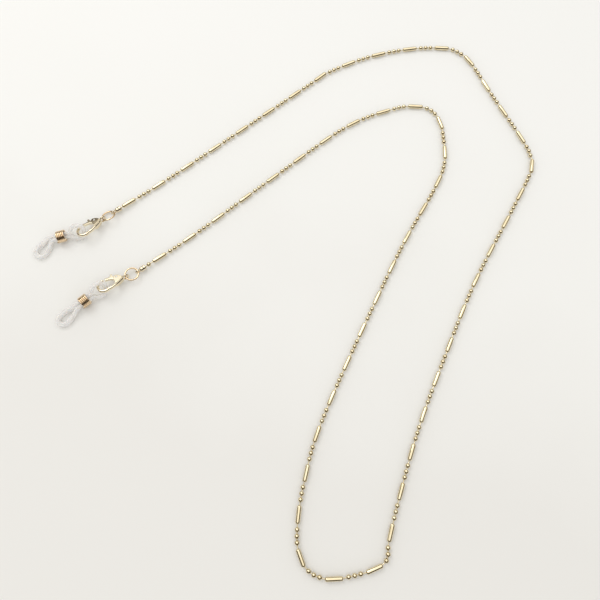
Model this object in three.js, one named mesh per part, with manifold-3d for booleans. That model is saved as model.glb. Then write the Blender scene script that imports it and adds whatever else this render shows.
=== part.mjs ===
// Eyeglasses chain strap: a ball-and-bar chain laid in a long bend, with a jump ring, a lobster clasp
// and a silicone temple loop under a coil sleeve at each end.
// Millimetres, +Z up, lying on the plane z = 0.
import * as THREE from 'three';
import { TessellateModifier } from 'three/addons/modifiers/TessellateModifier.js';
import { mergeVertices } from 'three/addons/utils/BufferGeometryUtils.js';
import Module from 'manifold-3d';

const wasm = await Module();
wasm.setup();

// ---- Chain ----
const PITCH = 12; // one bar and three balls
const BARS = 54;
const BARS_PER_SEGMENT = 2;
const FIRST_BAR = 4; // from the start of the route to the middle of the first bar
const BALL_R = 0.75;
const BALL_FLAT = 0.3; // half the width of a ball's plain belt
const BALL_SPACING = 1.8;
const BAR_R = 0.7;
const BAR_LENGTH = 5.2;
const BAR_SHOULDER = 0.35;
const PIN_R = 0.22;
const CHAIN_SIDES = 6;

// The joint between two segments: a round pin head held in an open ball.
const HEAD_R = 0.42;
const SHAFT_R = 0.17;
const SOCKET_R = 0.56;
const MOUTH_ANGLE = rad(43.5); // half angle of the mouth, which stops the swing at 20 degrees
const END_PIN = 1; // how far the last pin reaches into an end cap

// ---- End fittings ----
const END_RISE = 0.5; // the chain climbs this much to meet its end cap
const END_RISE_LENGTH = 12;
const CAP_R = 0.9;
const CAP_BORE_R = 0.45;
const CAP_START = 0.7; // both measured from the middle of the cap's eye
const CAP_MOUTH = 3;
const CAP_GAP = 0.5;
const EYE_R = 0.8;
const EYE_WIRE_R = 0.22;
const RING_R = 2.2;
const RING_WIRE_R = 0.28;
const RING_CUT = rad(4);

const TAIL_EYE_R = 0.9;
const TAIL_WIRE_R = 0.3;
const HOOK_X = 7.3; // the clasp's lengths are measured from the middle of its tail eye
const HOOK_INNER_R = 1.75;
const HOOK_OUTER_R = 2.65;
const HOOK_TIP_ANGLE = rad(100);
const HOOK_THICKNESS = 1.2;
const HEAD_THICKNESS = 2.2;
const SLOT_WIDTH = 1.2;
const LEVER_THICKNESS = 0.9;
const PIVOT = [2.6, 0.75];
const SLOT_START = 1.7; // the slot opens above the spine from here outwards
const SLOT_FLOOR = -0.55;
const PIN_HOLE_R = 0.45;
const RIVET_R = 0.35;
const BEVEL = 0.15;

const STRAND = 1.5; // thickness of the silicone band
const LONGEST_EDGE = 1.6; // on the flat band, so that it bends smoothly
const REAR_LOBE = { x: 2.4, outer: 3.1, inner: 1.6 }; // measured from the middle of the hook
const FRONT_LOBE = { x: 17.05, outer: 2.75, inner: 0.9 };
const WAIST_HALF = 1.25;
const WAIST = [5.45, 10.75];
const REAR_ROLL = rad(-48);
const ROLL_START = 4.5; // the roll unwinds from here to the end of the waist
const LANDING = 4.4; // past the waist, the band comes down to the plane over this length
const BEND_LENGTH = 3; // and its front lobe bends aside over this one
const LOBE_LEAVE = rad(65); // where the rear lobe's arc ends
const BAND_BEVEL = 0.35;
const SLEEVE_X = 8.1;
const SLEEVE_LENGTH = 3.4;
const SLEEVE_R = 2.05;
const SLEEVE_BORE_R = 1.7;
const SLEEVE_TURNS = 6;
const WAIST_HEIGHT = 2.18;
const HOOK_HEIGHT = 2.85;

// The middle line of the chain, as it lies, from one end cap to the other.
const MIDDLE = [-0.25, 0.22]; // the middle of the whole strap on the plane, which becomes the origin
const ROUTE = [
  [-58.5, 31], [-36, 45.5], [8, 75.5], [18, 82], [33, 87.5], [48.5, 90], [61.5, 89.5], [67, 87],
  [71, 81.5], [76.5, 67.5], [84.5, 48], [86, 41], [84.5, 35], [77, 23], [60, -3], [47, -27],
  [36, -49], [28, -68.5], [23.5, -81], [22.5, -85.5], [18, -88], [10.5, -89.5], [4.5, -89.5],
  [0, -87.5], [-2.5, -83], [-3, -76.5], [0, -62.5], [8, -42], [35, 7], [50.5, 31],
  [55.5, 41], [56.5, 51], [56, 58], [53.5, 63], [48, 65], [40, 64.5], [22, 58], [-6.5, 38.5],
  [-31, 21], [-51.5, 7.5],
];

// How each end lies. Turns are about +Z from the direction in which the chain ends, and rolls are about the
// length. loopSeat is how far from the hook's middle, towards the clasp's tail, the silicone passes.
const ENDS = {
  left: {
    pitch: rad(-8),
    ringTurn: rad(5),
    ringRoll: rad(25),
    claspTurn: rad(-2),
    claspRoll: rad(18),
    loopSeat: 0.1,
    loopTurn: rad(-25),
    bend: rad(42),
  },
  right: {
    pitch: rad(-6.5),
    ringTurn: rad(-10),
    ringRoll: rad(4),
    claspTurn: rad(2),
    claspRoll: rad(18),
    loopSeat: 0.1,
    loopTurn: rad(10),
    bend: rad(5),
  },
};

const UP = new THREE.Vector3(0, 0, 1);

function rad(degrees) {
  return (degrees * Math.PI) / 180;
}

// ---- Materials ----
const gold = () => new THREE.MeshStandardMaterial({ color: 0xdcbf86, roughness: 0.18, metalness: 1 });
const steel = () => new THREE.MeshStandardMaterial({ color: 0xb9b6ae, roughness: 0.3, metalness: 1 });
const silicone = () => new THREE.MeshStandardMaterial({ color: 0xf1eeea, roughness: 0.45, metalness: 0 });

// ---- Solids ----
function toManifold(geometry) {
  const bare = geometry.clone();
  bare.deleteAttribute('normal');
  bare.deleteAttribute('uv');
  const merged = mergeVertices(bare, 1e-4);
  const index = merged.index.array;
  const kept = [];
  for (let i = 0; i < index.length; i += 3) {
    const [a, b, c] = index.slice(i, i + 3);
    if (a !== b && b !== c && c !== a) kept.push(a, b, c);
  }
  return new wasm.Manifold(
    new wasm.Mesh({
      numProp: 3,
      vertProperties: new Float32Array(merged.attributes.position.array),
      triVerts: new Uint32Array(kept),
    }),
  );
}

function toGeometry(manifold) {
  const found = manifold.getMesh();
  const geometry = new THREE.BufferGeometry();
  geometry.setAttribute('position', new THREE.BufferAttribute(found.vertProperties, 3));
  geometry.setIndex(new THREE.BufferAttribute(found.triVerts, 1));
  geometry.computeVertexNormals();
  return geometry;
}

const join = (...geometries) => toGeometry(geometries.map(toManifold).reduce((all, one) => all.add(one)));
const cut = (geometry, ...tools) =>
  toGeometry(tools.map(toManifold).reduce((left, tool) => left.subtract(tool), toManifold(geometry)));

function piece(name, geometry, material) {
  const mesh = new THREE.Mesh(geometry, material);
  mesh.name = name;
  return mesh;
}

// A flat plate of an outline in the XY plane, centred on z = 0, with small bevels.
function plate(shape, thickness, bevel = BEVEL, curveSegments = 5) {
  const geometry = new THREE.ExtrudeGeometry(shape, {
    depth: thickness - 2 * bevel,
    bevelEnabled: bevel > 0,
    bevelThickness: bevel,
    bevelSize: bevel,
    bevelOffset: -bevel,
    bevelSegments: 1,
    curveSegments,
  });
  return geometry.translate(0, 0, bevel - thickness / 2);
}

// ---- The chain's route ----
const route = new THREE.CatmullRomCurve3(
  ROUTE.map(([x, y]) => new THREE.Vector3(x - MIDDLE[0], y - MIDDLE[1], BALL_R)),
  false,
  'catmullrom',
  0.5,
);
route.arcLengthDivisions = 2000;
const ROUTE_LENGTH = route.getLength();
const LAST_BALL = FIRST_BAR + (BARS - 1) * PITCH + PITCH / 2 - BALL_SPACING;
const CHAIN_START = FIRST_BAR - BAR_LENGTH / 2;
const CHAIN_END = LAST_BALL + BALL_R;

function routePoint(s) {
  const point = route.getPointAt(THREE.MathUtils.clamp(s / ROUTE_LENGTH, 0, 1));
  const toEnd = Math.min(s - CHAIN_START, CHAIN_END - s);
  point.z += END_RISE * (1 - THREE.MathUtils.smoothstep(toEnd, 0, END_RISE_LENGTH));
  return point;
}

// The rigid frame of a ball or bar at s: its y axis runs along the chain.
function routeFrame(s) {
  const step = 0.1;
  const along = routePoint(s + step).sub(routePoint(s - step)).normalize();
  const side = new THREE.Vector3().crossVectors(along, UP).normalize();
  const top = new THREE.Vector3().crossVectors(side, along);
  return new THREE.Matrix4().makeBasis(side, along, top).setPosition(routePoint(s));
}

// ---- Chain segments ----
// A profile is a list of { r, s, at }: a radius at s, on the rigid ball or bar whose middle is at "at".
const barMiddle = (bar) => FIRST_BAR + PITCH * bar;
const ballMiddle = (bar, ball) => barMiddle(bar) + PITCH / 2 + BALL_SPACING * (ball - 1);
const jointAfter = (segment) => ballMiddle(BARS_PER_SEGMENT * (segment + 1) - 1, 1);

const rings = (at, points) => points.map(([r, offset]) => ({ r, s: at + offset, at }));
const onBall = (radius, degrees) => [radius * Math.sin(rad(degrees)), -radius * Math.cos(rad(degrees))];
const reversed = (points) => points.map(([r, offset]) => [r, -offset]).reverse();

const BALL_NECK = [PIN_R, -Math.sqrt(BALL_R ** 2 - PIN_R ** 2)];
const HALF_BALL = [BALL_NECK, [BALL_R, -BALL_FLAT]];
const HALF_BAR = [[PIN_R, -BAR_LENGTH / 2], [BAR_R, BAR_SHOULDER - BAR_LENGTH / 2]];
// An open ball, from its neck round its mouth to the bottom of its hollow, with the mouth at +s.
const mouthPoint = (radius) => [radius * Math.sin(MOUTH_ANGLE), radius * Math.cos(MOUTH_ANGLE)];
const SOCKET = [
  ...HALF_BALL,
  [BALL_R, BALL_FLAT],
  mouthPoint(BALL_R),
  mouthPoint(SOCKET_R),
  [SOCKET_R, 0],
  onBall(SOCKET_R, 45),
  [0, -SOCKET_R],
];
// A pin head and its shaft, with the head's top at -s.
const HEAD = [[0, -HEAD_R], onBall(HEAD_R, 60), onBall(HEAD_R, 120), [SHAFT_R, HEAD_R]];

const ballRings = (at) => rings(at, [...HALF_BALL, ...reversed(HALF_BALL)]);
const barRings = (at) => rings(at, [...HALF_BAR, ...reversed(HALF_BAR)]);

function segmentProfile(segment, root) {
  const first = BARS_PER_SEGMENT * segment;
  const last = first + BARS_PER_SEGMENT - 1;
  const isFirst = first === 0;
  const isLast = last === BARS - 1;
  const profile = [];
  if (isFirst) {
    profile.push(...rings(CHAIN_START, [[0, -END_PIN], [PIN_R, -END_PIN]]));
  } else {
    const start = jointAfter(segment - 1);
    profile.push(...rings(start, segment > root ? HEAD : reversed(SOCKET)));
    profile.push(...ballRings(ballMiddle(first - 1, 2)));
  }
  for (let bar = first; bar <= last; bar += 1) {
    profile.push(...barRings(barMiddle(bar)));
    if (bar < last) [0, 1, 2].forEach((ball) => profile.push(...ballRings(ballMiddle(bar, ball))));
  }
  profile.push(...ballRings(ballMiddle(last, 0)));
  if (isLast) {
    profile.push(...rings(CHAIN_END, [[PIN_R, END_PIN], [0, END_PIN]]));
  } else {
    profile.push(...rings(jointAfter(segment), segment < root ? reversed(HEAD) : SOCKET));
  }
  return profile;
}

// A segment's own frame is at the joint on its root side; the root's is midway between its bars.
function segmentPivot(segment, root) {
  if (segment < root) return jointAfter(segment);
  if (segment > root) return jointAfter(segment - 1);
  return barMiddle(BARS_PER_SEGMENT * root) + PITCH / 2;
}

// The segment is turned as one straight profile, then each ball and bar is set rigidly on the route.
function chainSegment(segment, root) {
  const profile = segmentProfile(segment, root);
  const geometry = new THREE.LatheGeometry(
    profile.map(({ r, s }) => new THREE.Vector2(r, s)),
    CHAIN_SIDES,
  );
  const home = routeFrame(segmentPivot(segment, root));
  const toHome = home.clone().invert();
  const place = profile.map(({ at }) => toHome.clone().multiply(routeFrame(at)));
  const position = geometry.attributes.position;
  const vertex = new THREE.Vector3();
  for (let i = 0; i < position.count; i += 1) {
    const { at } = profile[i % profile.length];
    vertex.fromBufferAttribute(position, i);
    vertex.y -= at;
    vertex.applyMatrix4(place[i % profile.length]);
    position.setXYZ(i, vertex.x, vertex.y, vertex.z);
  }
  const name = `chain_segment_${String(segment + 1).padStart(2, '0')}`;
  const mesh = piece(name, toGeometry(toManifold(geometry)), gold());
  home.decompose(mesh.position, mesh.quaternion, mesh.scale);
  return mesh;
}

// ---- End fittings. In each group +X runs outwards, away from the chain. ----
class Arc extends THREE.Curve {
  constructor(radius, start, end) {
    super();
    Object.assign(this, { radius, start, end });
  }

  getPoint(t, target = new THREE.Vector3()) {
    const angle = THREE.MathUtils.lerp(this.start, this.end, t);
    return target.set(this.radius * Math.cos(angle), this.radius * Math.sin(angle), 0);
  }
}

const disc = (radius) => new THREE.Shape().absarc(0, 0, radius, 0, 2 * Math.PI);
const points = (...pairs) => pairs.map(([x, y]) => new THREE.Vector2(x, y));

// A bead with a blind bore for the chain's last pin, and a wire eye standing upright.
function endCap() {
  const profile = points(
    [0, CAP_START],
    [0.6, CAP_START],
    [CAP_R, CAP_START + 0.4],
    [CAP_R, CAP_MOUTH - 0.4],
    [0.7, CAP_MOUTH],
    [CAP_BORE_R, CAP_MOUTH],
    [CAP_BORE_R, CAP_START + 0.5],
    [0, CAP_START + 0.5],
  );
  const bead = new THREE.LatheGeometry(profile, 10).rotateZ(Math.PI / 2);
  const eye = new THREE.TorusGeometry(EYE_R, EYE_WIRE_R, 6, 14).rotateX(Math.PI / 2);
  return join(bead, eye);
}

// A bent wire ring with its saw cut at the side.
function jumpRing() {
  const path = new Arc(RING_R, rad(90) + RING_CUT / 2, rad(450) - RING_CUT / 2);
  const section = disc(RING_WIRE_R);
  const settings = { steps: 20, bevelEnabled: false, extrudePath: path, curveSegments: 3 };
  return new THREE.ExtrudeGeometry(section, settings);
}

function slotTool(length, height) {
  const box = new THREE.BoxGeometry(length, height, SLOT_WIDTH);
  return box.translate(SLOT_START + length / 2, SLOT_FLOOR + height / 2, 0);
}

function claspBody() {
  const outline = new THREE.Shape();
  outline.moveTo(0.95, 0.4);
  outline.splineThru(points([1.9, 1.3], [2.8, 1.75], [3.6, 1.5]));
  outline.lineTo(3.75, 0.4);
  outline.lineTo(3.95, -0.45);
  outline.lineTo(5.1, -1.2);
  outline.absarc(HOOK_X, 0, HOOK_INNER_R, rad(-122), HOOK_TIP_ANGLE, false);
  outline.absarc(HOOK_X, 0, HOOK_OUTER_R, HOOK_TIP_ANGLE - rad(2), rad(-108), true);
  outline.splineThru(points([4.6, -2.15], [2.9, -1.5], [0.95, -0.4]));
  const head = new THREE.Shape();
  head.moveTo(1.1, 0.45);
  head.splineThru(points([1.9, 1.25], [2.8, 1.7], [3.55, 1.4]));
  head.lineTo(3.7, -0.5);
  head.lineTo(3.9, -1.6);
  head.lineTo(2.9, -1.45);
  head.lineTo(1.1, -0.45);
  const tail = new THREE.TorusGeometry(TAIL_EYE_R, TAIL_WIRE_R, 6, 14).rotateX(Math.PI / 2);
  const slot = slotTool(4, 4);
  const hole = new THREE.CylinderGeometry(PIN_HOLE_R, PIN_HOLE_R, 3, 8).rotateX(Math.PI / 2);
  hole.translate(...PIVOT, 0);
  // The slot is open above the spine only, so that the hook's own rim stays whole.
  const inHead = cut(plate(head, HEAD_THICKNESS), slot, hole);
  const spine = cut(plate(outline, HOOK_THICKNESS), slotTool(3.4, 3), hole);
  return join(spine, inHead, tail);
}

function claspLever() {
  const outline = new THREE.Shape();
  outline.moveTo(2.1, 1.25);
  outline.splineThru(points([2.7, 1.75], [3.5, 2.15]));
  outline.lineTo(3.75, 2.95);
  outline.absarc(4.05, 3.0, 0.32, rad(180), rad(0), true);
  outline.lineTo(4.55, 2.45);
  outline.lineTo(6.45, 2.6);
  outline.lineTo(6.55, 1.8);
  outline.splineThru(points([5.3, 1.65], [4.3, 1.3], [3.5, 0.55]));
  outline.splineThru(points([2.95, 0.1], [2.3, 0.1], [1.9, 0.6]));
  outline.closePath();
  const hole = new THREE.CylinderGeometry(PIN_HOLE_R, PIN_HOLE_R, 3, 8).rotateX(Math.PI / 2);
  return cut(plate(outline, LEVER_THICKNESS, 0.1, 4), hole.translate(...PIVOT, 0));
}

const leverPin = () =>
  new THREE.CylinderGeometry(RIVET_R, RIVET_R, HEAD_THICKNESS, 8)
    .rotateX(Math.PI / 2)
    .translate(...PIVOT, 0);

// A bent strip that lies on the floor of the slot and presses the lever shut.
function leverSpring() {
  const outline = new THREE.Shape();
  outline.moveTo(1.85, -0.45);
  outline.lineTo(2.7, -0.25);
  outline.lineTo(3.5, -0.4);
  outline.lineTo(3.5, -0.25);
  outline.lineTo(2.7, -0.1);
  outline.lineTo(1.85, -0.3);
  return plate(outline, 0.7, 0);
}

// The band in plan: a rear lobe, a waist where its strands lie together, and a front lobe.
function loopOutline() {
  const { x: rx, outer: ro, inner: ri } = REAR_LOBE;
  const { x: fx, outer: fo, inner: fi } = FRONT_LOBE;
  const [from, to] = WAIST;
  const leaveX = rx + ro * Math.cos(LOBE_LEAVE);
  const leaveY = ro * Math.sin(LOBE_LEAVE);
  const outline = new THREE.Shape();
  outline.absarc(rx, 0, ro, LOBE_LEAVE, -LOBE_LEAVE, false);
  outline.bezierCurveTo(rx + 2.2, -2.35, from - 1.2, -WAIST_HALF, from, -WAIST_HALF);
  outline.lineTo(to, -WAIST_HALF);
  outline.bezierCurveTo(to + 1.6, -WAIST_HALF, fx - 2.4, -fo, fx, -fo);
  outline.absarc(fx, 0, fo, rad(-90), rad(90), false);
  outline.bezierCurveTo(fx - 2.4, fo, to + 1.6, WAIST_HALF, to, WAIST_HALF);
  outline.lineTo(from, WAIST_HALF);
  outline.bezierCurveTo(from - 1.2, WAIST_HALF, rx + 2.2, 2.35, leaveX, leaveY);
  outline.holes.push(teardrop(rx, ri, rad(60), from - 0.7), teardrop(fx, fi, rad(-80), to + 1.4));
  return outline;
}

// An opening with a round end and a point: the arc runs from "leave" round the far side to its mirror image.
function teardrop(x, radius, leave, point) {
  const path = new THREE.Path();
  path.absarc(x, 0, radius, leave, -leave, false);
  path.lineTo(point, 0);
  path.closePath();
  return path;
}

const waistHeight = (x) => {
  const slope = (WAIST_HEIGHT - HOOK_HEIGHT) / SLEEVE_X;
  const straight = HOOK_HEIGHT + slope * x;
  const down = THREE.MathUtils.smoothstep(x, WAIST[1], WAIST[1] + LANDING);
  return THREE.MathUtils.lerp(straight, STRAND / 2, down);
};

// The band rolls over between clasp and sleeve and comes down to lie flat; its front lobe bends aside.
function siliconeLoop(bend) {
  const flat = plate(loopOutline(), STRAND, BAND_BEVEL, 7);
  const geometry = new TessellateModifier(LONGEST_EDGE, 8).modify(flat);
  const position = geometry.attributes.position;
  for (let i = 0; i < position.count; i += 1) {
    const x = position.getX(i);
    const y = position.getY(i);
    const z = position.getZ(i);
    const roll = REAR_ROLL * (1 - THREE.MathUtils.smoothstep(x, ROLL_START, WAIST[1]));
    const across = y * Math.cos(roll) - z * Math.sin(roll);
    const lift = y * Math.sin(roll) + z * Math.cos(roll);
    const past = THREE.MathUtils.clamp(x - WAIST[1], 0, BEND_LENGTH);
    const turned = (bend * past) / BEND_LENGTH;
    const beyond = Math.max(0, x - WAIST[1] - BEND_LENGTH);
    const radius = BEND_LENGTH / bend;
    const midX = Math.min(x, WAIST[1]) + radius * Math.sin(turned) + beyond * Math.cos(turned);
    const midY = radius * (1 - Math.cos(turned)) + beyond * Math.sin(turned);
    const bentX = midX - across * Math.sin(turned);
    const bentY = midY + across * Math.cos(turned);
    position.setXYZ(i, bentX, bentY, waistHeight(x) + lift);
  }
  return toGeometry(toManifold(geometry));
}

function coilSleeve() {
  const rib = SLEEVE_LENGTH / SLEEVE_TURNS;
  const outer = [];
  for (let turn = 0; turn < SLEEVE_TURNS; turn += 1) {
    const start = turn * rib - SLEEVE_LENGTH / 2;
    outer.push([SLEEVE_R - 0.2, start], [SLEEVE_R, start + rib / 2]);
  }
  const profile = [
    [SLEEVE_BORE_R, -SLEEVE_LENGTH / 2],
    ...outer,
    [SLEEVE_R - 0.2, SLEEVE_LENGTH / 2],
    [SLEEVE_BORE_R, SLEEVE_LENGTH / 2],
    [SLEEVE_BORE_R, -SLEEVE_LENGTH / 2],
  ];
  return new THREE.LatheGeometry(points(...profile), 14).rotateZ(-Math.PI / 2);
}

function endFitting(side, origin, heading) {
  const { pitch, ringTurn, ringRoll, claspTurn, claspRoll, loopSeat, loopTurn, bend } = ENDS[side];
  const end = new THREE.Group();
  const cap = new THREE.Group();
  cap.position.copy(origin);
  cap.rotation.z = heading;
  cap.add(piece(`${side}_end_cap`, endCap(), gold()));

  const ring = new THREE.Group();
  ring.name = `${side}_ring_pivot`;
  ring.position.copy(origin);
  ring.rotation.set(ringRoll, pitch, heading + ringTurn, 'ZYX');
  const ringMesh = piece(`${side}_jump_ring`, jumpRing(), gold());
  ringMesh.position.x = RING_R;
  ring.add(ringMesh);

  const claspPivot = new THREE.Group();
  claspPivot.name = `${side}_clasp_pivot`;
  claspPivot.position.x = RING_R;
  claspPivot.rotation.z = claspTurn;
  ring.add(claspPivot);

  const clasp = new THREE.Group();
  clasp.position.x = RING_R;
  clasp.rotation.x = Math.PI + claspRoll - ringRoll;
  clasp.add(piece(`${side}_clasp_body`, claspBody(), gold()));
  clasp.add(piece(`${side}_clasp_lever`, claspLever(), gold()));
  clasp.add(piece(`${side}_lever_pin`, leverPin(), steel()));
  clasp.add(piece(`${side}_lever_spring`, leverSpring(), steel()));
  claspPivot.add(clasp);

  const lever = new THREE.Group();
  lever.name = `${side}_lever_pivot`;
  lever.position.set(...PIVOT, 0);
  const hook = new THREE.Group();
  hook.name = `${side}_hook_middle`;
  hook.position.x = HOOK_X - loopSeat;
  clasp.add(lever, hook);

  ring.updateMatrixWorld(true);
  const hookAt = hook.getWorldPosition(new THREE.Vector3());
  const loop = new THREE.Group();
  loop.position.set(hookAt.x, hookAt.y, 0);
  loop.rotation.z = heading + ringTurn + claspTurn + loopTurn;
  loop.add(piece(`${side}_silicone_loop`, siliconeLoop(bend), silicone()));
  const sleeve = new THREE.Group();
  sleeve.name = `${side}_sleeve_slide`;
  sleeve.position.set(SLEEVE_X, 0, waistHeight(SLEEVE_X));
  sleeve.rotation.y = Math.atan((HOOK_HEIGHT - WAIST_HEIGHT) / SLEEVE_X);
  sleeve.add(piece(`${side}_coil_sleeve`, coilSleeve(), gold()));
  loop.add(sleeve);
  end.add(cap, ring, loop);
  return end;
}

// ---- The strap ----
const strap = new THREE.Group();
const segments = BARS / BARS_PER_SEGMENT;
const rootSegment = (segments - 1) / 2;
for (let segment = 0; segment < segments; segment += 1) strap.add(chainSegment(segment, rootSegment));

function chainEnd(s, direction, side) {
  const point = routePoint(s);
  const before = routePoint(s - 2 * direction);
  const outwards = point.clone().sub(before).setZ(0).normalize();
  const origin = point.addScaledVector(outwards, CAP_MOUTH + CAP_GAP);
  return endFitting(side, origin, Math.atan2(outwards.y, outwards.x));
}
strap.add(chainEnd(CHAIN_START, -1, 'left'));
strap.add(chainEnd(CHAIN_END, 1, 'right'));

export default strap;
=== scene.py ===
"""The looks of the eyeglasses chain strap: polished gold chain, clasps and sleeves, and silicone loops.

Pieces are modelled in millimetres, in the same local frames as the CAD part, and settled into the row frame
in metres.
"""

import math
import random

import bmesh
import bpy
import numpy as np
from mathutils import Matrix, Vector


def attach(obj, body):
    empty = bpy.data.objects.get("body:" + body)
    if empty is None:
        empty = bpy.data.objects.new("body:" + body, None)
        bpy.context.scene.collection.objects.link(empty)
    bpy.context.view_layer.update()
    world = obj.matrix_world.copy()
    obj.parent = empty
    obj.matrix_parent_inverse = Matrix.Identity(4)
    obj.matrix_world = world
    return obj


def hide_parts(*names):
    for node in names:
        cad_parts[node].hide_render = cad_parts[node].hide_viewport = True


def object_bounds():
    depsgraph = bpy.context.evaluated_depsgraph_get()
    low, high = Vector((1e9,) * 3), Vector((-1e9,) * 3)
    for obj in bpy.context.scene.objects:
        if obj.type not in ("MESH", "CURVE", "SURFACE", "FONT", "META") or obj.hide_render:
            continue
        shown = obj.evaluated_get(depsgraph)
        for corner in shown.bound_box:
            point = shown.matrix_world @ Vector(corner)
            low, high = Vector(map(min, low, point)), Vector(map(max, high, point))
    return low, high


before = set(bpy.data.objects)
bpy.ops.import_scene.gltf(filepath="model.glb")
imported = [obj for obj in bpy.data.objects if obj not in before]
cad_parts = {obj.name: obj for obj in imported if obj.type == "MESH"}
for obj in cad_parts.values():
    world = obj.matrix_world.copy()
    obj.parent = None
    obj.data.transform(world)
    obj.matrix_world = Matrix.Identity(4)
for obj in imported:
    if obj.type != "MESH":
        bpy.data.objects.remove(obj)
CAD_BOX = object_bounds()
MM = 0.001

# ---- Chain, in millimetres ----
PITCH = 12
BARS = 54
BARS_PER_SEGMENT = 2
FIRST_BAR = 4
BALL_R = 0.75
BALL_WALL = 0.12
BALL_HOLE_R = 0.27
BALL_SPACING = 1.8
BAR_R = 0.7
BAR_LENGTH = 5.2
BAR_HOLE_R = 0.3
BAR_CRIMP = 0.5
BAR_WALL = 0.12
PIN_R = 0.17
PIN_HEAD_R = 0.3
PIN_REACH = 0.35  # how far a pin's head sits inside a ball or bar
HEAD_R = 0.42
SOCKET_R = 0.56
MOUTH_ANGLE = math.radians(46.5)  # half angle of an open ball's mouth, a little wider than the pin's swing
END_RISE = 0.5
END_RISE_LENGTH = 12

# The chain's middle line on the plane, in metres, from one end cap to the other.
MIDDLE = (-0.00025, 0.00022)
ROUTE = [
    (-0.0585, 0.031), (-0.036, 0.0455), (0.008, 0.0755), (0.018, 0.082), (0.033, 0.0875), (0.0485, 0.09),
    (0.0615, 0.0895), (0.067, 0.087), (0.071, 0.0815), (0.0765, 0.0675), (0.0845, 0.048), (0.086, 0.041),
    (0.0845, 0.035), (0.077, 0.023), (0.06, -0.003), (0.047, -0.027), (0.036, -0.049), (0.028, -0.0685),
    (0.0235, -0.081), (0.0225, -0.0855), (0.018, -0.088), (0.0105, -0.0895), (0.0045, -0.0895), (0, -0.0875),
    (-0.0025, -0.083), (-0.003, -0.0765), (0, -0.0625), (0.008, -0.042), (0.035, 0.007), (0.0505, 0.031),
    (0.0555, 0.041), (0.0565, 0.051), (0.056, 0.058), (0.0535, 0.063), (0.048, 0.065), (0.04, 0.0645),
    (0.022, 0.058), (-0.0065, 0.0385), (-0.031, 0.021), (-0.0515, 0.0075),
]

# ---- End fittings, in millimetres ----
CAP_R = 0.9
CAP_BORE_R = 0.45
CAP_START = 0.7
CAP_MOUTH = 3.0
CAP_GAP = 0.5
CAP_PIN_REACH = 1.0  # how far the pin stands out of the chain's last piece
EYE_R = 0.8
EYE_WIRE_R = 0.22
RING_R = 2.2
RING_WIRE_R = 0.28
RING_CUT = math.radians(4)
TAIL_EYE_R = 0.9
TAIL_WIRE_R = 0.3
HOOK_X = 7.3
HOOK_R = 2.2
HOOK_HALF_WIDTH = 0.44
HOOK_HALF_DEPTH = 0.58
HOOK_TIP_ANGLE = 100
HEAD_HALF = 1.1
SLOT_HALF = 0.6
LEVER_HALF = 0.45
PIVOT = (2.6, 0.75)
RIVET_R = 0.35
RIVET_DOME = 0.1
STRAND_HALF = 0.75
FRONT_STRAND_HALF = 0.9
WAIST_STRAND_HALF = 0.62
REAR_LOBE = (2.4, 2.35)  # middle and radius of the strand's centre line
FRONT_LOBE = (17.05, 1.83)
WAIST = (5.45, 10.75)
REAR_ROLL = math.radians(-48)
ROLL_START = 4.5  # the roll unwinds from here to the end of the waist
LOBE_LEAVE = 65  # degrees on the rear lobe's arc where the strand leaves it
PINCH = 1.6  # the strand narrows over this length before the waist
RELEASE = 2  # and widens over this one after it
STRAND_GAP = 0.015  # half the gap between the two strands in the waist
BEND_LENGTH = 3
LANDING = 4.4
SLEEVE_X = 8.1
SLEEVE_LENGTH = 3.4
SLEEVE_R = 2.05
SLEEVE_BORE_R = 1.6
SLEEVE_TURNS = 6
WAIST_HEIGHT = 2.18
HOOK_HEIGHT = 2.85

# How each end lies, in degrees; loop_seat is in millimetres.
ENDS = {
    "left": dict(
        pitch=-8,
        ring_turn=5,
        ring_roll=25,
        clasp_turn=-2,
        clasp_roll=18,
        loop_seat=0.1,
        loop_turn=-25,
        bend=42,
    ),
    "right": dict(
        pitch=-6.5,
        ring_turn=-10,
        ring_roll=4,
        clasp_turn=2,
        clasp_roll=18,
        loop_seat=0.1,
        loop_turn=10,
        bend=5,
    ),
}


# ---- Meshes: each is a pair of an N x 3 array of points and a list of faces ----
def joined(*parts):
    points = []
    faces = []
    start = 0
    for found, quads in parts:
        points.append(np.asarray(found, float))
        faces += [tuple(i + start for i in face) for face in quads]
        start += len(found)
    return np.vstack(points), faces


def moved(mesh, matrix):
    points, faces = mesh
    m = np.array(matrix)
    return points @ m[:3, :3].T + m[:3, 3], faces


def skin(rings, closed):
    """The surface through equal rings of points; open ends are closed by a fan."""
    count, sides, _ = rings.shape
    points = rings.reshape(-1, 3)
    faces = []
    for i in range(count if closed else count - 1):
        a, b = i * sides, (i + 1) % count * sides
        faces += [(a + k, a + (k + 1) % sides, b + (k + 1) % sides, b + k) for k in range(sides)]
    if not closed:
        points = np.vstack([points, rings[0].mean(0), rings[-1].mean(0)])
        first, last = count * sides, count * sides + 1
        end = (count - 1) * sides
        faces += [(first, (k + 1) % sides, k) for k in range(sides)]
        faces += [(last, end + k, end + (k + 1) % sides) for k in range(sides)]
    return points, faces


def lathe(profile, sides=24, seam=0.0):
    """A closed profile of (radius, along) turned about y, with a fine groove of that depth along one side."""
    turns = [2 * math.pi * k / sides for k in range(sides)]
    if seam:
        turns = turns[1:-1] + [-0.09, 0.0, 0.09]
    rings = []
    for turn in turns:
        depth = seam if turn == 0.0 else 0.0
        rings.append([((r - depth) * math.cos(turn), s, (r - depth) * math.sin(turn)) for r, s in profile])
    return skin(np.array(rings), closed=True)


def arc(radius, start, end, count, middle=(0, 0)):
    """Points on an arc, with angles in degrees."""
    angles = np.radians(np.linspace(start, end, count))
    return [(middle[0] + radius * math.cos(a), middle[1] + radius * math.sin(a)) for a in angles]


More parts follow.
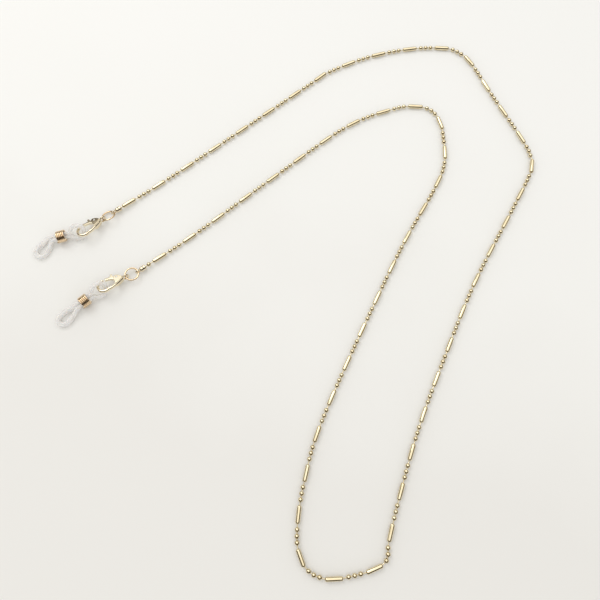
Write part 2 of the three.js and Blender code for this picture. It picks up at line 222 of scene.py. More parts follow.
def sweep(centres, across, lift, sections, closed=False):
    """Sections of (across, lift) offsets set at each centre."""
    rings = (
        centres[:, None, :]
        + sections[:, :, :1] * across[:, None, :]
        + sections[:, :, 1:] * lift[:, None, :]
    )
    return skin(rings, closed)


def oval(half_width, half_height, sides=16, power=1.0):
    """An ellipse, or a squarer outline with a power under 1."""
    turns = np.linspace(0, 2 * math.pi, sides, endpoint=False)
    c, s = np.cos(turns), np.sin(turns)
    return np.stack(
        [half_width * np.sign(c) * abs(c) ** power, half_height * np.sign(s) * abs(s) ** power], axis=1
    )


def flat_frames(path, closed=False):
    """Centres, in-plane normals and upright normals of a path on the XY plane."""
    xy = np.array(path, float)
    if closed:
        along = np.roll(xy, -1, 0) - np.roll(xy, 1, 0)
    else:
        along = np.gradient(xy, axis=0)
    along /= np.linalg.norm(along, axis=1)[:, None]
    flat = np.zeros(len(xy))
    centres = np.column_stack([xy, flat])
    across = np.column_stack([along[:, 1], -along[:, 0], flat])
    lift = np.tile([0.0, 0.0, 1.0], (len(xy), 1))
    return centres, across, lift


def smooth_path(points, per_span=6):
    """A Catmull-Rom curve through the points."""
    knots = [np.array(p, float) for p in points]
    knots = [2 * knots[0] - knots[1], *knots, 2 * knots[-1] - knots[-2]]
    path = []
    for i in range(1, len(knots) - 2):
        p0, p1, p2, p3 = knots[i - 1 : i + 3]
        for t in np.linspace(0, 1, per_span, endpoint=False):
            path.append(hermite(p1, p2, (p2 - p0) / 2, (p3 - p1) / 2, t))
    path.append(knots[-2])
    return path


def hermite(p1, p2, m1, m2, t):
    t2, t3 = t * t, t * t * t
    return (2 * t3 - 3 * t2 + 1) * p1 + (t3 - 2 * t2 + t) * m1 + (3 * t2 - 2 * t3) * p2 + (t3 - t2) * m2


def wire_ring(radius, wire, start=0, end=360, count=64, sides=14):
    """A round wire bent on the XY plane; less than a whole turn gives it two rounded ends."""
    whole = end - start >= 360
    path = arc(radius, start, end, count + 1)
    if whole:
        path = path[:-1]
    centres, across, lift = flat_frames(path, whole)
    sections = np.repeat(oval(wire, wire, sides)[None], len(path), axis=0)
    if not whole:
        for i, size in ((0, 0.8), (-1, 0.8)):
            sections[i] *= size
    return sweep(centres, across, lift, sections, whole)


def plate(outline, half):
    """A closed slab of an outline on the XY plane."""
    n = len(outline)
    points = [(x, y, -half) for x, y in outline] + [(x, y, half) for x, y in outline]
    faces = [tuple(range(n - 1, -1, -1)), tuple(range(n, 2 * n))]
    faces += [(i, (i + 1) % n, (i + 1) % n + n, i + n) for i in range(n)]
    return np.array(points), faces


# ---- Blender objects ----
def to_mesh(name, mesh):
    """A Blender mesh with its doubled points joined and its faces turned outwards."""
    points, faces = mesh
    data = bpy.data.meshes.new(name)
    data.from_pydata([tuple(p) for p in points], [], faces)
    work = bmesh.new()
    work.from_mesh(data)
    bmesh.ops.remove_doubles(work, verts=work.verts, dist=1e-4)
    bmesh.ops.recalc_face_normals(work, faces=work.faces)
    work.to_mesh(data)
    work.free()
    return data


def applied(data, *modifiers):
    """The mesh after these modifiers, each (type, {setting: value})."""
    thing = bpy.data.objects.new("work", data)
    bpy.context.scene.collection.objects.link(thing)
    for kind, settings in modifiers:
        modifier = thing.modifiers.new(kind, kind)
        for setting, value in settings.items():
            setattr(modifier, setting, value)
    graph = bpy.context.evaluated_depsgraph_get()
    result = bpy.data.meshes.new_from_object(thing.evaluated_get(graph))
    bpy.data.objects.remove(thing)
    return result


def cast(name, *parts):
    """Overlapping closed shapes melted into one with soft edges, as a casting has."""
    data = to_mesh(name, joined(*parts))
    return applied(
        data,
        ("REMESH", dict(mode="VOXEL", voxel_size=0.06)),
        ("SMOOTH", dict(factor=0.5, iterations=5)),
        ("DECIMATE", dict(ratio=0.35)),
    )


def settle(name, data, matrix, body, node, material):
    """Sets a mesh in millimetres into the row frame, in the place of its CAD node."""
    data.transform(Matrix.Scale(MM, 4) @ matrix)
    data.name = name
    data.materials.clear()
    data.materials.append(material)
    data.shade_smooth()
    thing = bpy.data.objects.new(name, data)
    bpy.context.scene.collection.objects.link(thing)
    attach(thing, body)
    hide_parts(node)
    return thing


# ---- Materials ----
def new_material(name):
    material = bpy.data.materials.new(name)
    material.use_nodes = True
    tree = material.node_tree
    return material, tree, tree.nodes["Principled BSDF"]


def noise(tree, scale, detail=3.0, stretch=(1, 1, 1)):
    """Noise on the piece's own coordinates; scale is in cycles per millimetre."""
    coordinates = tree.nodes.new("ShaderNodeTexCoord")
    mapping = tree.nodes.new("ShaderNodeMapping")
    mapping.inputs["Scale"].default_value = [s / MM for s in stretch]
    texture = tree.nodes.new("ShaderNodeTexNoise")
    texture.inputs["Scale"].default_value = scale
    texture.inputs["Detail"].default_value = detail
    tree.links.new(coordinates.outputs["Object"], mapping.inputs["Vector"])
    tree.links.new(mapping.outputs["Vector"], texture.inputs["Vector"])
    return texture.outputs["Fac"]


def ramp(tree, value, stops):
    node = tree.nodes.new("ShaderNodeValToRGB")
    node.color_ramp.elements[0].position = stops[0][0]
    node.color_ramp.elements[0].color = stops[0][1]
    node.color_ramp.elements[1].position = stops[-1][0]
    node.color_ramp.elements[1].color = stops[-1][1]
    for position, colour in stops[1:-1]:
        node.color_ramp.elements.new(position).color = colour
    tree.links.new(value, node.inputs["Fac"])
    return node.outputs["Color"]


def map_range(tree, value, low, high):
    node = tree.nodes.new("ShaderNodeMapRange")
    node.inputs["From Min"].default_value = 0.3
    node.inputs["From Max"].default_value = 0.7
    node.inputs["To Min"].default_value = low
    node.inputs["To Max"].default_value = high
    tree.links.new(value, node.inputs["Value"])
    return node.outputs["Result"]


def bump(tree, shader, height, distance, strength=1.0):
    node = tree.nodes.new("ShaderNodeBump")
    node.inputs["Strength"].default_value = strength
    node.inputs["Distance"].default_value = distance * MM
    tree.links.new(height, node.inputs["Height"])
    tree.links.new(node.outputs["Normal"], shader.inputs["Normal"])


def plated(name, pale, deep, polish, dull):
    """Plated metal: patches of deeper and paler plating, uneven polish and tiny handling scratches."""
    material, tree, shader = new_material(name)
    shader.inputs["Metallic"].default_value = 1.0
    colour = ramp(tree, noise(tree, 0.35), [(0.35, deep), (0.65, pale)])
    tree.links.new(colour, shader.inputs["Base Color"])
    tree.links.new(map_range(tree, noise(tree, 1.8, 6.0), polish, dull), shader.inputs["Roughness"])
    bump(tree, shader, noise(tree, 6.0, 4.0, (1, 1, 1)), 0.01, 0.35)
    return material


def silicone_rubber(name):
    """Milky, see-through silicone: clouded inside, with a soft moulded surface."""
    material, tree, shader = new_material(name)
    shader.inputs["IOR"].default_value = 1.41
    shader.inputs["Alpha"].default_value = 0.6
    shader.inputs["Subsurface Weight"].default_value = 0.4
    shader.inputs["Subsurface Scale"].default_value = 0.8 * MM
    shader.inputs["Subsurface Radius"].default_value = (1.0, 0.9, 0.8)
    colour = ramp(
        tree,
        noise(tree, 0.5, 4.0),
        [(0.35, (0.83, 0.805, 0.785, 1)), (0.65, (0.93, 0.915, 0.895, 1))],
    )
    tree.links.new(colour, shader.inputs["Base Color"])
    tree.links.new(map_range(tree, noise(tree, 2.5, 5.0), 0.2, 0.36), shader.inputs["Roughness"])
    bump(tree, shader, noise(tree, 1.2, 2.0), 0.02, 0.3)
    return material


def floor_card(name):
    """Off-white card with a faint tooth; painted shade greys it a little towards its near left corner, where
    the light falls off.
    """
    material, tree, shader = new_material(name)
    shader.inputs["Specular IOR Level"].default_value = 0.2
    shader.inputs["Roughness"].default_value = 0.75
    coordinates = tree.nodes.new("ShaderNodeTexCoord")
    # Painted shade: the card's colour darkens along this slant towards the near left corner, standing in for
    # the light falling off there.
    painted_falloff = tree.nodes.new("ShaderNodeVectorMath")
    painted_falloff.operation = "DOT_PRODUCT"
    painted_falloff.inputs[1].default_value = (1.1, 3.0, 0)
    tree.links.new(coordinates.outputs["Object"], painted_falloff.inputs[0])
    # Large faint blotches of the card's own tone, plus the painted falloff shade.
    uneven = tree.nodes.new("ShaderNodeMath")
    uneven.operation = "MULTIPLY_ADD"
    uneven.inputs[1].default_value = 0.35
    tree.links.new(noise(tree, 0.012, 3.0), uneven.inputs[0])
    tree.links.new(painted_falloff.outputs["Value"], uneven.inputs[2])
    colour = ramp(
        tree,
        uneven.outputs["Value"],
        [(0.0, (0.82, 0.805, 0.775, 1)), (0.26, (0.885, 0.878, 0.853, 1)), (0.45, (0.9, 0.893, 0.872, 1))],
    )
    tree.links.new(colour, shader.inputs["Base Color"])
    bump(tree, shader, noise(tree, 3.0, 3.0), 0.01, 0.2)
    return material


CHAIN_GOLD = plated("chain_gold", (0.88, 0.78, 0.55, 1), (0.8, 0.68, 0.45, 1), 0.05, 0.13)
CAST_GOLD = plated("cast_gold", (0.92, 0.84, 0.66, 1), (0.85, 0.74, 0.54, 1), 0.06, 0.16)
WIRE_GOLD = plated("wire_gold", (0.9, 0.74, 0.52, 1), (0.82, 0.62, 0.41, 1), 0.06, 0.14)
STEEL = plated("spring_steel", (0.72, 0.71, 0.69, 1), (0.6, 0.59, 0.57, 1), 0.22, 0.4)
SILICONE = silicone_rubber("milky_silicone")
CARD = floor_card("off_white_card")


# ---- The chain's route ----
class Route:
    """The chain's middle line in millimetres, measured along its length."""

    def __init__(self):
        self.points = [np.array([(x - MIDDLE[0]) / MM, (y - MIDDLE[1]) / MM, BALL_R]) for x, y in ROUTE]
        self.steps = np.linspace(0, 1, 2001)
        line = np.array([self.at_share(t) for t in self.steps])
        spans = np.linalg.norm(np.diff(line, axis=0), axis=1)
        self.lengths = np.concatenate([[0], np.cumsum(spans)])

    def at_share(self, share):
        spans = len(self.points) - 1
        i = min(int(share * spans), spans - 1)
        p1, p2 = self.points[i], self.points[i + 1]
        p0 = self.points[i - 1] if i else 2 * p1 - p2
        p3 = self.points[i + 2] if i + 2 <= spans else 2 * p2 - p1
        return hermite(p1, p2, (p2 - p0) / 2, (p3 - p1) / 2, share * spans - i)

    def point(self, s):
        point = self.at_share(np.interp(s, self.lengths, self.steps))
        point[2] += END_RISE * (1 - smoothstep(min(s - CHAIN_START, CHAIN_END - s), 0, END_RISE_LENGTH))
        return Vector(point)

    def frame(self, s):
        """The rigid frame of a ball or bar at s, whose y axis runs along the chain."""
        along = (self.point(s + 0.1) - self.point(s - 0.1)).normalized()
        side = along.cross(Vector((0, 0, 1))).normalized()
        axes = Matrix((side, along, side.cross(along))).transposed().to_4x4()
        return Matrix.Translation(self.point(s)) @ axes


def smoothstep(x, low, high):
    t = min(max((x - low) / (high - low), 0), 1)
    return t * t * (3 - 2 * t)


def bar_middle(bar):
    return FIRST_BAR + PITCH * bar


def ball_middle(bar, k):
    return bar_middle(bar) + PITCH / 2 + BALL_SPACING * (k - 1)


def joint_after(segment):
    return ball_middle(BARS_PER_SEGMENT * (segment + 1) - 1, 1)


# The outermost balls and bars are worn flat where they would stand out of the part's box.
CHAIN_LOW = np.array(CAD_BOX[0]) / MM
CHAIN_HIGH = np.array(CAD_BOX[1]) / MM
CHAIN_START = FIRST_BAR - BAR_LENGTH / 2
CHAIN_END = ball_middle(BARS - 1, 0) + BALL_R
ROUTE_LINE = Route()


# ---- Chain pieces ----
def bar_mesh(turn):
    """A rolled tube with crimped, rounded ends and a fine seam."""
    half = BAR_LENGTH / 2
    shoulder = [
        (BAR_HOLE_R + (BAR_R - BAR_HOLE_R) * math.sin(a), half - BAR_CRIMP * (1 - math.cos(a)))
        for a in np.linspace(0.12, math.pi / 2, 6)
    ]
    outer = shoulder + [(r, -s) for r, s in reversed(shoulder)]
    inner = [
        (BAR_HOLE_R, -half + 0.06),
        (BAR_R - BAR_WALL, -half + BAR_CRIMP + 0.1),
        (BAR_R - BAR_WALL, half - BAR_CRIMP - 0.1),
        (BAR_HOLE_R, half - 0.06),
    ]
    return moved(lathe(outer + inner, 28, seam=0.035), Matrix.Rotation(turn, 4, "Y"))


def hollow_ball_mesh(low_hole, high_hole, inner_radius):
    """A hollow ball with a hole at each end, given as half angles."""
    outer = np.linspace(low_hole, math.pi - high_hole, 13)
    profile = [(BALL_R * math.sin(a), -BALL_R * math.cos(a)) for a in outer]
    inner = np.linspace(math.pi - high_hole, low_hole, 9)
    profile += [(inner_radius * math.sin(a), -inner_radius * math.cos(a)) for a in inner]
    return lathe(profile, 20)


HOLE_ANGLE = math.asin(BALL_HOLE_R / BALL_R)
PLAIN_BALL = hollow_ball_mesh(HOLE_ANGLE, HOLE_ANGLE, BALL_R - BALL_WALL)
OPEN_BALL = hollow_ball_mesh(HOLE_ANGLE, MOUTH_ANGLE, SOCKET_R)


def pin_mesh(start, end, start_head, end_head):
    """A wire pin between two points, with a round head at each end."""
    start, end = Vector(start), Vector(end)
    length = (end - start).length
    profile = [(start_head * math.sin(a), -start_head * math.cos(a)) for a in np.linspace(0.03, 2.5, 8)]
    profile += [(PIN_R, start_head), (PIN_R, length - end_head)]
    profile += [(end_head * math.sin(a), length - end_head * math.cos(a)) for a in np.linspace(0.65, 3.11, 8)]
    turns = np.linspace(0, 2 * math.pi, 12, endpoint=False)
    rings = np.array([[(r * math.cos(t), s, r * math.sin(t)) for t in turns] for r, s in profile])
    turn = Vector((0, 1, 0)).rotation_difference(end - start).to_matrix().to_4x4()
    return moved(skin(rings, closed=False), Matrix.Translation(start) @ turn)


def chain_items(segment, root):
    """What is on a segment, in order: (kind, place along the route)."""
    first = BARS_PER_SEGMENT * segment
    last = first + BARS_PER_SEGMENT - 1
    items = []
    if segment > 0:
        kind = "head" if segment > root else "mouth_first"
        items += [(kind, joint_after(segment - 1)), ("ball", ball_middle(first - 1, 2))]
    for bar in range(first, last + 1):
        items.append(("bar", bar_middle(bar)))
        if bar < last:
            items += [("ball", ball_middle(bar, k)) for k in range(3)]
    items.append(("ball", ball_middle(last, 0)))
    if last < BARS - 1:
        items.append(("head" if segment < root else "mouth_last", joint_after(segment)))
    return items


def item_mesh(kind, at, chance):
    if kind == "bar":
        return moved(bar_mesh(chance.uniform(0, 2 * math.pi)), ROUTE_LINE.frame(at))
    if kind == "ball":
        return moved(PLAIN_BALL, ROUTE_LINE.frame(at))
    # An open ball's mouth faces the ball beyond the joint.
    beyond = at + BALL_SPACING if kind == "mouth_last" else at - BALL_SPACING
    centre = ROUTE_LINE.point(at)
    aim = ROUTE_LINE.point(beyond) - centre
    turned = Vector((0, 1, 0)).rotation_difference(aim).to_matrix().to_4x4()
    return moved(OPEN_BALL, Matrix.Translation(centre) @ turned)


def pin_end(kind, at, direction):
    """Where a pin leaves an item towards +1 or -1 along the route, and the radius of its head there."""
    if kind == "head":
        return ROUTE_LINE.frame(at).translation, HEAD_R
    half = BAR_LENGTH / 2 if kind == "bar" else BALL_R
    return ROUTE_LINE.frame(at) @ Vector((0, direction * (half - PIN_REACH), 0)), PIN_HEAD_R


def chain_segment(segment, root, chance):
    items = chain_items(segment, root)
    parts = [item_mesh(kind, at, chance) for kind, at in items if kind != "head"]
    for (kind, at), (next_kind, next_at) in zip(items, items[1:]):
        start, start_head = pin_end(kind, at, 1)
        end, end_head = pin_end(next_kind, next_at, -1)
        parts.append(pin_mesh(start, end, start_head, end_head))
    outwards = cap_pin(segment)
    if outwards:
        parts.append(outwards)
    name = f"chain_segment_{segment + 1:02d}"
    points, faces = joined(*parts)
    data = to_mesh(name, (np.clip(points, CHAIN_LOW, CHAIN_HIGH), faces))
    settle(f"{name}_metal", data, Matrix.Identity(4), name, name, CHAIN_GOLD)


def cap_pin(segment):
    """The pin that joins the chain's first or last piece to its end cap."""
    if segment == 0:
        inside, _ = pin_end("bar", bar_middle(0), -1)
        outside = ROUTE_LINE.frame(CHAIN_START) @ Vector((0, -CAP_PIN_REACH, 0))
    elif segment == BARS // BARS_PER_SEGMENT - 1:
        inside, _ = pin_end("ball", ball_middle(BARS - 1, 0), 1)
        outside = ROUTE_LINE.frame(CHAIN_END) @ Vector((0, CAP_PIN_REACH, 0))
    else:
        return None
    return pin_mesh(inside, outside, PIN_HEAD_R, PIN_HEAD_R)


def build_chain():
    chance = random.Random(7)
    segments = BARS // BARS_PER_SEGMENT
    for segment in range(segments):
        chain_segment(segment, (segments - 1) // 2, chance)


# ---- End fittings: +x runs outwards, away from the chain ----
def end_cap_mesh():
    """A turned bead with a bore for the last pin, a groove round it and a wire eye."""
    outer = [(0.02, CAP_START), (0.45, CAP_START + 0.03), (0.68, CAP_START + 0.16), (0.82, CAP_START + 0.38)]
    outer += [(CAP_R, CAP_START + 0.7), (CAP_R, 1.75)]
    outer += [(CAP_R - 0.08, 1.84), (CAP_R - 0.08, 1.96), (CAP_R, 2.05)]
    outer += [(CAP_R, CAP_MOUTH - 0.35), (CAP_R - 0.06, CAP_MOUTH - 0.12), (CAP_R - 0.18, CAP_MOUTH)]
    inner = [(CAP_BORE_R + 0.05, CAP_MOUTH), (CAP_BORE_R, CAP_MOUTH - 0.06), (CAP_BORE_R, CAP_START + 0.5)]
    inner += [(0.02, CAP_START + 0.5)]
    bead = moved(lathe(outer + inner, 28), Matrix.Rotation(math.pi / 2, 4, "Z"))
    eye = moved(wire_ring(EYE_R, EYE_WIRE_R, count=48), Matrix.Rotation(math.pi / 2, 4, "X"))
    return joined(bead, eye)


def jump_ring_mesh():
    cut = math.degrees(RING_CUT) / 2
    return wire_ring(RING_R, RING_WIRE_R, 90 + cut, 450 - cut, count=80, sides=16)


def hook_mesh():
    """The spine and the hook as one bent bar, which thins towards a rounded tip."""
    spine = [(1.2, -0.2), (2.0, -0.72), (3.0, -1.12), (4.2, -1.5), (5.2, -1.88)]
    hook = arc(HOOK_R, -118, HOOK_TIP_ANGLE, 15, (HOOK_X, 0))
    path = smooth_path(spine + hook, 4)
    count = len(path)
    shares = np.linspace(0, 1, count)
    sections = []
    for share in shares:
        width = HOOK_HALF_WIDTH + 0.05 * (1 - smoothstep(share, 0.0, 0.4))
        width -= 0.1 * smoothstep(share, 0.75, 1.0)
        end = math.sqrt(max(0.0, 1 - max(0.0, (share - 0.97) / 0.03) ** 2))
        sections.append(oval(width * max(end, 0.15), HOOK_HALF_DEPTH * max(end, 0.15), 18, 0.8))
    centres, across, lift = flat_frames(path)
    return sweep(centres, across, lift, np.array(sections))


def clasp_body_mesh():
    """The casting: tail eye, neck, two cheeks with a slot between them, spine and hook."""
    top = smooth_path([(1.1, 0.45), (1.9, 1.25), (2.8, 1.7), (3.55, 1.4)], 5)
    cheek = top + [(3.72, 0.3), (3.78, -0.6), (3.9, -1.5), (2.9, -1.42), (1.1, -0.45)]
    middle = (HEAD_HALF + SLOT_HALF) / 2
    cheeks = []
    for side in (-1, 1):
        slab = plate(cheek, (HEAD_HALF - SLOT_HALF) / 2)
        cheeks.append(moved(slab, Matrix.Translation((0, 0, side * middle))))
    neck = plate([(0.95, 0.38), (1.5, 0.75), (1.72, 0.8), (1.72, -0.75), (0.95, -0.4)], HEAD_HALF - 0.12)
    tail = moved(wire_ring(TAIL_EYE_R, TAIL_WIRE_R, count=40), Matrix.Rotation(math.pi / 2, 4, "X"))
    return cast("clasp_casting", hook_mesh(), *cheeks, neck, tail)


def lever_mesh():
    """The S-shaped lever with its thumb knob."""
    back = smooth_path([(2.1, 1.25), (2.7, 1.75), (3.5, 2.1), (3.75, 2.75)], 5)
    knob = arc(0.34, 170, 10, 8, (4.05, 3.0))
    top = smooth_path([(4.45, 2.5), (5.3, 2.35), (6.0, 2.48), (6.42, 2.62)], 4)
    belly = [(6.55, 1.85), (5.3, 1.68), (4.3, 1.3), (3.5, 0.55)]
    front = smooth_path(belly + [(2.95, 0.1), (2.3, 0.1), (1.9, 0.6)], 5)
    return cast("lever_casting", plate(back + knob + top + front, LEVER_HALF))


def rivet_mesh():
    """A pin with a shallow dome at each end."""
    dome = [(RIVET_R * math.sin(a), RIVET_DOME * math.cos(a)) for a in np.linspace(0.08, math.pi / 2, 6)]
    profile = [(r, HEAD_HALF + s) for r, s in dome]
    profile += [(r, -HEAD_HALF - s) for r, s in reversed(dome)]
    turns = np.linspace(0, 2 * math.pi, 20, endpoint=False)
    rings = np.array([[(r * math.cos(t), r * math.sin(t), s) for t in turns] for r, s in profile])
    points, faces = skin(rings, closed=False)
    return points + np.array([*PIVOT, 0]), faces


def spring_mesh():
    """A strip of spring steel on the floor of the slot."""
    path = smooth_path([(1.9, -0.38), (2.3, -0.25), (2.7, -0.18), (3.1, -0.22), (3.48, -0.34)], 4)
    centres, across, lift = flat_frames(path)
    sections = np.repeat(oval(0.06, 0.34, 12, 0.5)[None], len(path), axis=0)
    return sweep(centres, across, lift, sections)


def bezier(p0, p1, p2, p3, count):
    p0, p1, p2, p3 = (np.array(p, float) for p in (p0, p1, p2, p3))
    curve = []
    for t in np.linspace(0, 1, count, endpoint=False):
        u = 1 - t
        curve.append(tuple(u**3 * p0 + 3 * u**2 * t * p1 + 3 * u * t * t * p2 + t**3 * p3))
    return curve


def band_path():
    """The strand's centre line in plan: round the rear lobe, along the waist and round the front lobe."""
    rear_x, rear_r = REAR_LOBE
    front_x, front_r = FRONT_LOBE
    leave = math.radians(LOBE_LEAVE)
    start = (rear_x + rear_r * math.cos(leave), rear_r * math.sin(leave))
    lead = (start[0] + 1.6 * math.sin(leave), start[1] - 1.6 * math.cos(leave))
    waist = WAIST_STRAND_HALF
    down = bezier(start, lead, (WAIST[0] - 1.2, waist), (WAIST[0], waist), 10)
    along = [(x, waist) for x in np.linspace(WAIST[0], WAIST[1], 14, endpoint=False)]
    out = bezier((WAIST[1], waist), (WAIST[1] + 1.6, waist), (front_x - 2.4, front_r), (front_x, front_r), 14)
    upper = down + along + out
    front = arc(front_r, 90, -90, 24, (front_x, 0))[:-1]
    lower = [(x, -y) for x, y in reversed(upper[1:])]
    rear = arc(rear_r, -LOBE_LEAVE, LOBE_LEAVE - 360, 30, (rear_x, 0))[:-1]
    return upper + front + [(front_x, -front_r)] + lower + rear


def band_mesh(bend):
    """The silicone band, rolled over behind its sleeve, lying flat in front of it and bent aside."""
    path = band_path()
    centres, across, lift = flat_frames(path, closed=True)
    sections = []
    for x, _ in path:
        into = smoothstep(x, WAIST[0] - PINCH, WAIST[0])
        out = smoothstep(x, WAIST[1], WAIST[1] + RELEASE)
        squeezed = into * (1 - out)
        in_front = smoothstep(x, WAIST[1], WAIST[1] + LANDING)
        free = STRAND_HALF + (FRONT_STRAND_HALF - STRAND_HALF) * in_front
        width = free + (WAIST_STRAND_HALF - free) * squeezed
        sections.append(oval(width, STRAND_HALF, 20, 0.92))
    points, faces = sweep(centres, across, lift, np.array(sections), closed=True)
    sides = len(sections[0])
    for i, (x, y, z) in enumerate(points):
        home = path[i // sides][1]
        if home > 0:
            y = max(y, STRAND_GAP)
        if home < 0:
            y = min(y, -STRAND_GAP)
        points[i] = laid(x, y, z, math.radians(bend))
    return points, faces


def waist_height(x):
    straight = HOOK_HEIGHT + (WAIST_HEIGHT - HOOK_HEIGHT) / SLEEVE_X * x
    down = smoothstep(x, WAIST[1], WAIST[1] + LANDING)
    return straight + (STRAND_HALF - straight) * down


def laid(x, y, z, bend):
    """A point of the plan, where the band lies."""
    roll = REAR_ROLL * (1 - smoothstep(x, ROLL_START, WAIST[1]))
    aside = y * math.cos(roll) - z * math.sin(roll)
    up = y * math.sin(roll) + z * math.cos(roll)
    turned = bend * min(max(x - WAIST[1], 0), BEND_LENGTH) / BEND_LENGTH
    beyond = max(0, x - WAIST[1] - BEND_LENGTH)
    radius = BEND_LENGTH / bend
    mid_x = min(x, WAIST[1]) + radius * math.sin(turned) + beyond * math.cos(turned)
    mid_y = radius * (1 - math.cos(turned)) + beyond * math.sin(turned)
    return (mid_x - aside * math.sin(turned), mid_y + aside * math.cos(turned), waist_height(x) + up)


def coil_mesh():
    """A close coil of slightly flattened wire, with a groove between neighbouring turns."""
    per_turn = 40
    pitch = SLEEVE_LENGTH / SLEEVE_TURNS
    turns = SLEEVE_TURNS - 1
    angles = np.linspace(0, 2 * math.pi * turns, turns * per_turn + 1)
    radius = (SLEEVE_R + SLEEVE_BORE_R) / 2
    outwards = np.column_stack([np.zeros(len(angles)), np.cos(angles), np.sin(angles)])
    centres = outwards * radius
    centres[:, 0] = (angles / (2 * math.pi) - turns / 2) * pitch
    axis = np.tile([1.0, 0.0, 0.0], (len(angles), 1))
    section = oval((SLEEVE_R - SLEEVE_BORE_R) / 2, pitch * 0.49, 16)
    return sweep(centres, outwards, axis, np.repeat(section[None], len(angles), axis=0))


def turn(axis, degrees):
    return Matrix.Rotation(math.radians(degrees), 4, axis)


def shift(x, y=0.0, z=0.0):
    return Matrix.Translation((x, y, z))


def build_end(side, s, direction, castings):
    lie = ENDS[side]
    point = ROUTE_LINE.point(s)
    outwards = point - ROUTE_LINE.point(s - 2 * direction)
    outwards.z = 0
    outwards.normalize()
    heading = math.degrees(math.atan2(outwards.y, outwards.x))
    origin = Matrix.Translation(point + outwards * (CAP_MOUTH + CAP_GAP))
    segment = "chain_segment_01" if side == "left" else f"chain_segment_{BARS // BARS_PER_SEGMENT}"

    ring = origin @ turn("Z", heading + lie["ring_turn"])
    ring = ring @ turn("Y", lie["pitch"]) @ turn("X", lie["ring_roll"])
    clasp = ring @ shift(RING_R) @ turn("Z", lie["clasp_turn"]) @ shift(RING_R)
    clasp = clasp @ turn("X", 180 + lie["clasp_roll"] - lie["ring_roll"])
    hook = clasp @ Vector((HOOK_X - lie["loop_seat"], 0, 0))
    loop_turn = heading + lie["ring_turn"] + lie["clasp_turn"] + lie["loop_turn"]
    loop = shift(hook.x, hook.y) @ turn("Z", loop_turn)
    slope = math.degrees(math.atan((HOOK_HEIGHT - WAIST_HEIGHT) / SLEEVE_X))
    sleeve = loop @ shift(SLEEVE_X, 0, waist_height(SLEEVE_X)) @ turn("Y", slope)

    def put(piece, mesh, matrix, body, material):
        data = mesh if isinstance(mesh, bpy.types.Mesh) else to_mesh(piece, mesh)
        settle(f"{side}_{piece}_look", data, matrix, body, f"{side}_{piece}", material)

    put("end_cap", end_cap_mesh(), origin @ turn("Z", heading), segment, CAST_GOLD)
    put("jump_ring", jump_ring_mesh(), ring @ shift(RING_R), f"{side}_ring", WIRE_GOLD)
    put("clasp_body", castings["body"].copy(), clasp, f"{side}_clasp", CAST_GOLD)
    put("clasp_lever", castings["lever"].copy(), clasp, f"{side}_lever", CAST_GOLD)
    put("lever_pin", rivet_mesh(), clasp, f"{side}_clasp", STEEL)
    put("lever_spring", spring_mesh(), clasp, f"{side}_clasp", STEEL)
    put("silicone_loop", band_mesh(lie["bend"]), loop, f"{side}_loop", SILICONE)
    put("coil_sleeve", coil_mesh(), sleeve, f"{side}_sleeve", WIRE_GOLD)


def build_ends():
    castings = {"body": clasp_body_mesh(), "lever": lever_mesh()}
    build_end("left", CHAIN_START, -1, castings)
    build_end("right", CHAIN_END, 1, castings)


# ---- Stage ----
CAMERA_PLACE = (2.25, -62.22, 186.0)
CAMERA_TIP = 16.93
CAMERA_TWIST = -3.48
CAMERA_LENS = 35.4
FLOOR_HALF = 1.5  # in metres
FLOOR_DROP = 0.02
FAR_SIDE_LIFT = 0.35
SOFT_LIGHT = (0.93, 0.925, 0.905, 1)
BACKDROP = (0.88, 0.87, 0.845, 1)
# What polished metal mirrors, from the floor's level up: a dark room, then a pale ceiling.
ROOM = [
    (0.0, (0.02, 0.014, 0.008, 1)),
    (0.45, (0.05, 0.035, 0.02, 1)),
    (0.62, (0.12, 0.1, 0.07, 1)),
    (0.74, (1.15, 1.13, 1.08, 1)),
    (1.0, (1.35, 1.33, 1.28, 1)),
]


def build_floor():
    data = bpy.data.meshes.new("floor")
    half = FLOOR_HALF
    corners = [(-half, -half, 0), (half, -half, 0), (half, half, 0), (-half, half, 0)]
    data.from_pydata(corners, [], [(0, 1, 2, 3)])
    floor = bpy.data.objects.new("floor", data)
    data.materials.append(CARD)
    floor.location.z = -FLOOR_DROP * MM
    bpy.context.scene.collection.objects.link(floor)


def area_light(name, place, size, power, colour):
    """A square softbox that faces the middle of the strap."""
    data = bpy.data.lights.new(name, "AREA")
    data.shape = "SQUARE"
    data.size = size
    data.energy = power
    data.color = colour
    light = bpy.data.objects.new(name, data)
    light.location = place
    light.rotation_euler = (-Vector(place)).to_track_quat("-Z", "Y").to_euler()
    bpy.context.scene.collection.objects.link(light)


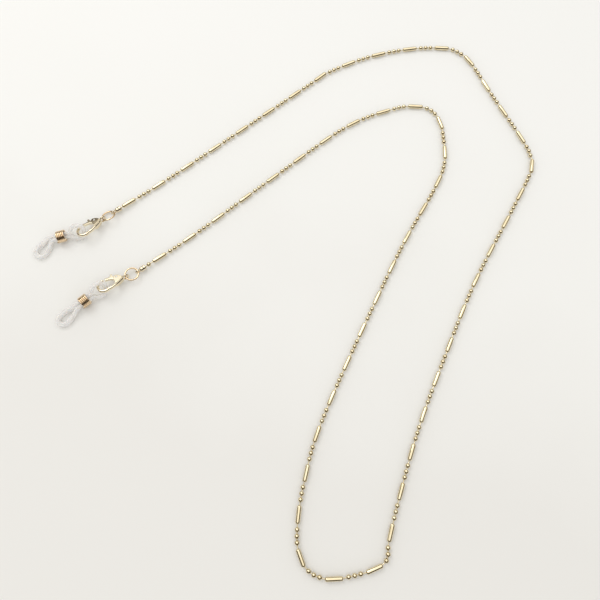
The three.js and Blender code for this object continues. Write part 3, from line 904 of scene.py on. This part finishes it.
def room_colour(tree):
    """The room's colour by height, with its far side lifted."""
    coordinates = tree.nodes.new("ShaderNodeTexCoord")
    split = tree.nodes.new("ShaderNodeSeparateXYZ")
    tree.links.new(coordinates.outputs["Generated"], split.inputs["Vector"])
    height = tree.nodes.new("ShaderNodeMath")
    height.operation = "MULTIPLY_ADD"
    height.inputs[1].default_value = FAR_SIDE_LIFT
    tree.links.new(split.outputs["Y"], height.inputs[0])
    tree.links.new(split.outputs["Z"], height.inputs[2])
    return ramp(tree, height.outputs["Value"], ROOM)


def build_world():
    """Even light from all round; shiny pieces mirror the room instead."""
    world = bpy.data.worlds.new("room")
    world.use_nodes = True
    tree = world.node_tree
    rays = tree.nodes.new("ShaderNodeLightPath")
    soft = tree.nodes["Background"]
    soft.inputs["Color"].default_value = SOFT_LIGHT
    mirrored = tree.nodes.new("ShaderNodeBackground")
    tree.links.new(room_colour(tree), mirrored.inputs["Color"])
    backdrop = tree.nodes.new("ShaderNodeBackground")
    backdrop.inputs["Color"].default_value = BACKDROP
    shader = soft.outputs["Background"]
    for ray, other in (("Is Glossy Ray", mirrored), ("Is Camera Ray", backdrop)):
        mix = tree.nodes.new("ShaderNodeMixShader")
        tree.links.new(rays.outputs[ray], mix.inputs["Fac"])
        tree.links.new(shader, mix.inputs[1])
        tree.links.new(other.outputs["Background"], mix.inputs[2])
        shader = mix.outputs["Shader"]
    tree.links.new(shader, tree.nodes["World Output"].inputs["Surface"])
    bpy.context.scene.world = world


def build_camera():
    """Above the near side, tipped a little from straight down."""
    data = bpy.data.cameras.new("camera")
    data.sensor_width = 36
    data.lens = CAMERA_LENS
    data.clip_start = 0.005
    camera = bpy.data.objects.new("camera", data)
    place = Matrix.Translation([v * MM for v in CAMERA_PLACE])
    camera.matrix_world = place @ turn("X", CAMERA_TIP) @ turn("Z", CAMERA_TWIST)
    bpy.context.scene.collection.objects.link(camera)
    bpy.context.scene.camera = camera


def build_stage():
    build_camera()
    build_floor()
    build_world()
    area_light("key", (-0.3, 0.35, 0.5), 0.3, 0.7, (1.0, 0.995, 0.98))
    bpy.context.scene.view_settings.view_transform = "Standard"


build_stage()
build_chain()
build_ends()
